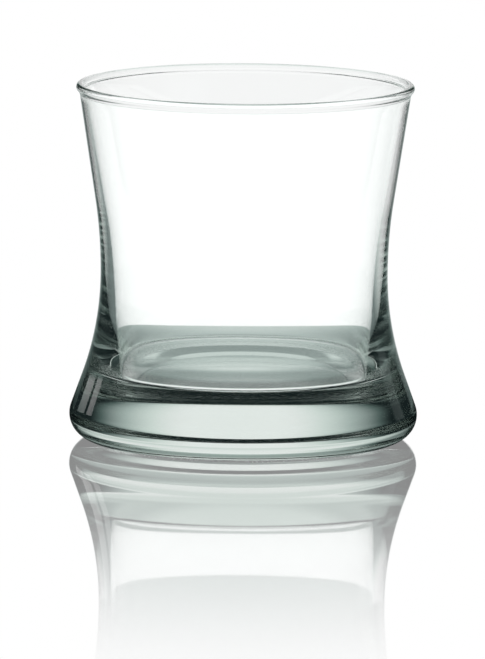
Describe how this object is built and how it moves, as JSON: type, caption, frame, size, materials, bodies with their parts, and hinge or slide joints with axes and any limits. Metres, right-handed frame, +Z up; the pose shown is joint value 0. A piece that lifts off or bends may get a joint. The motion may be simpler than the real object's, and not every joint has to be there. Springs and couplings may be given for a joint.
{
  "type": "whiskey tumbler",
  "caption": "Waisted glass tumbler with a thick solid base, a rolled foot, a flared wall and a rounded rim, for serving whiskey and other short drinks.",
  "frame": {"origin": "middle of the plane the glass rests on, on the axis of the bowl", "axes": "+Z runs up the axis of the bowl, out of its mouth; the glass is round about Z, so +X and +Y are any two directions at right angles"},
  "size_m": [0.0856, 0.0856, 0.088],
  "materials": {
    "glass": "clear soda-lime glass with a faint grey-green cast, fire polished and smooth"
  },
  "bodies": {
    "root": {"tumbler": "glass"}
  },
  "joints": []
}
